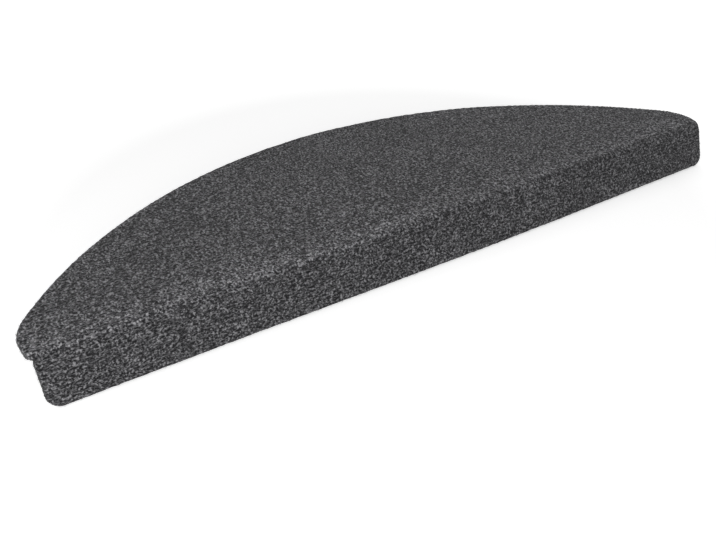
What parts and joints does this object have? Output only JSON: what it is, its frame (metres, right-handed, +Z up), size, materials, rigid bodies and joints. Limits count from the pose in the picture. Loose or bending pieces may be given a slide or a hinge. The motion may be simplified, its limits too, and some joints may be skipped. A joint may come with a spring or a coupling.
{
  "type": "stair tread mat",
  "caption": "Half-round needle felt mat that lies on a stair step, with a straight front lip folded down over the step's edge against slipping.",
  "frame": {"origin": "on the underside of the tread, halfway along it and halfway from the nose line to the round back", "axes": "+X along the step, +Y from the lip to the round back, +Z up out of the tread's face"},
  "size_m": [0.65, 0.2141, 0.04],
  "materials": {
    "felt": "dark grey mottled needle felt with fine ribs"
  },
  "bodies": {
    "root": {"tread_mat": "felt"}
  },
  "joints": []
}
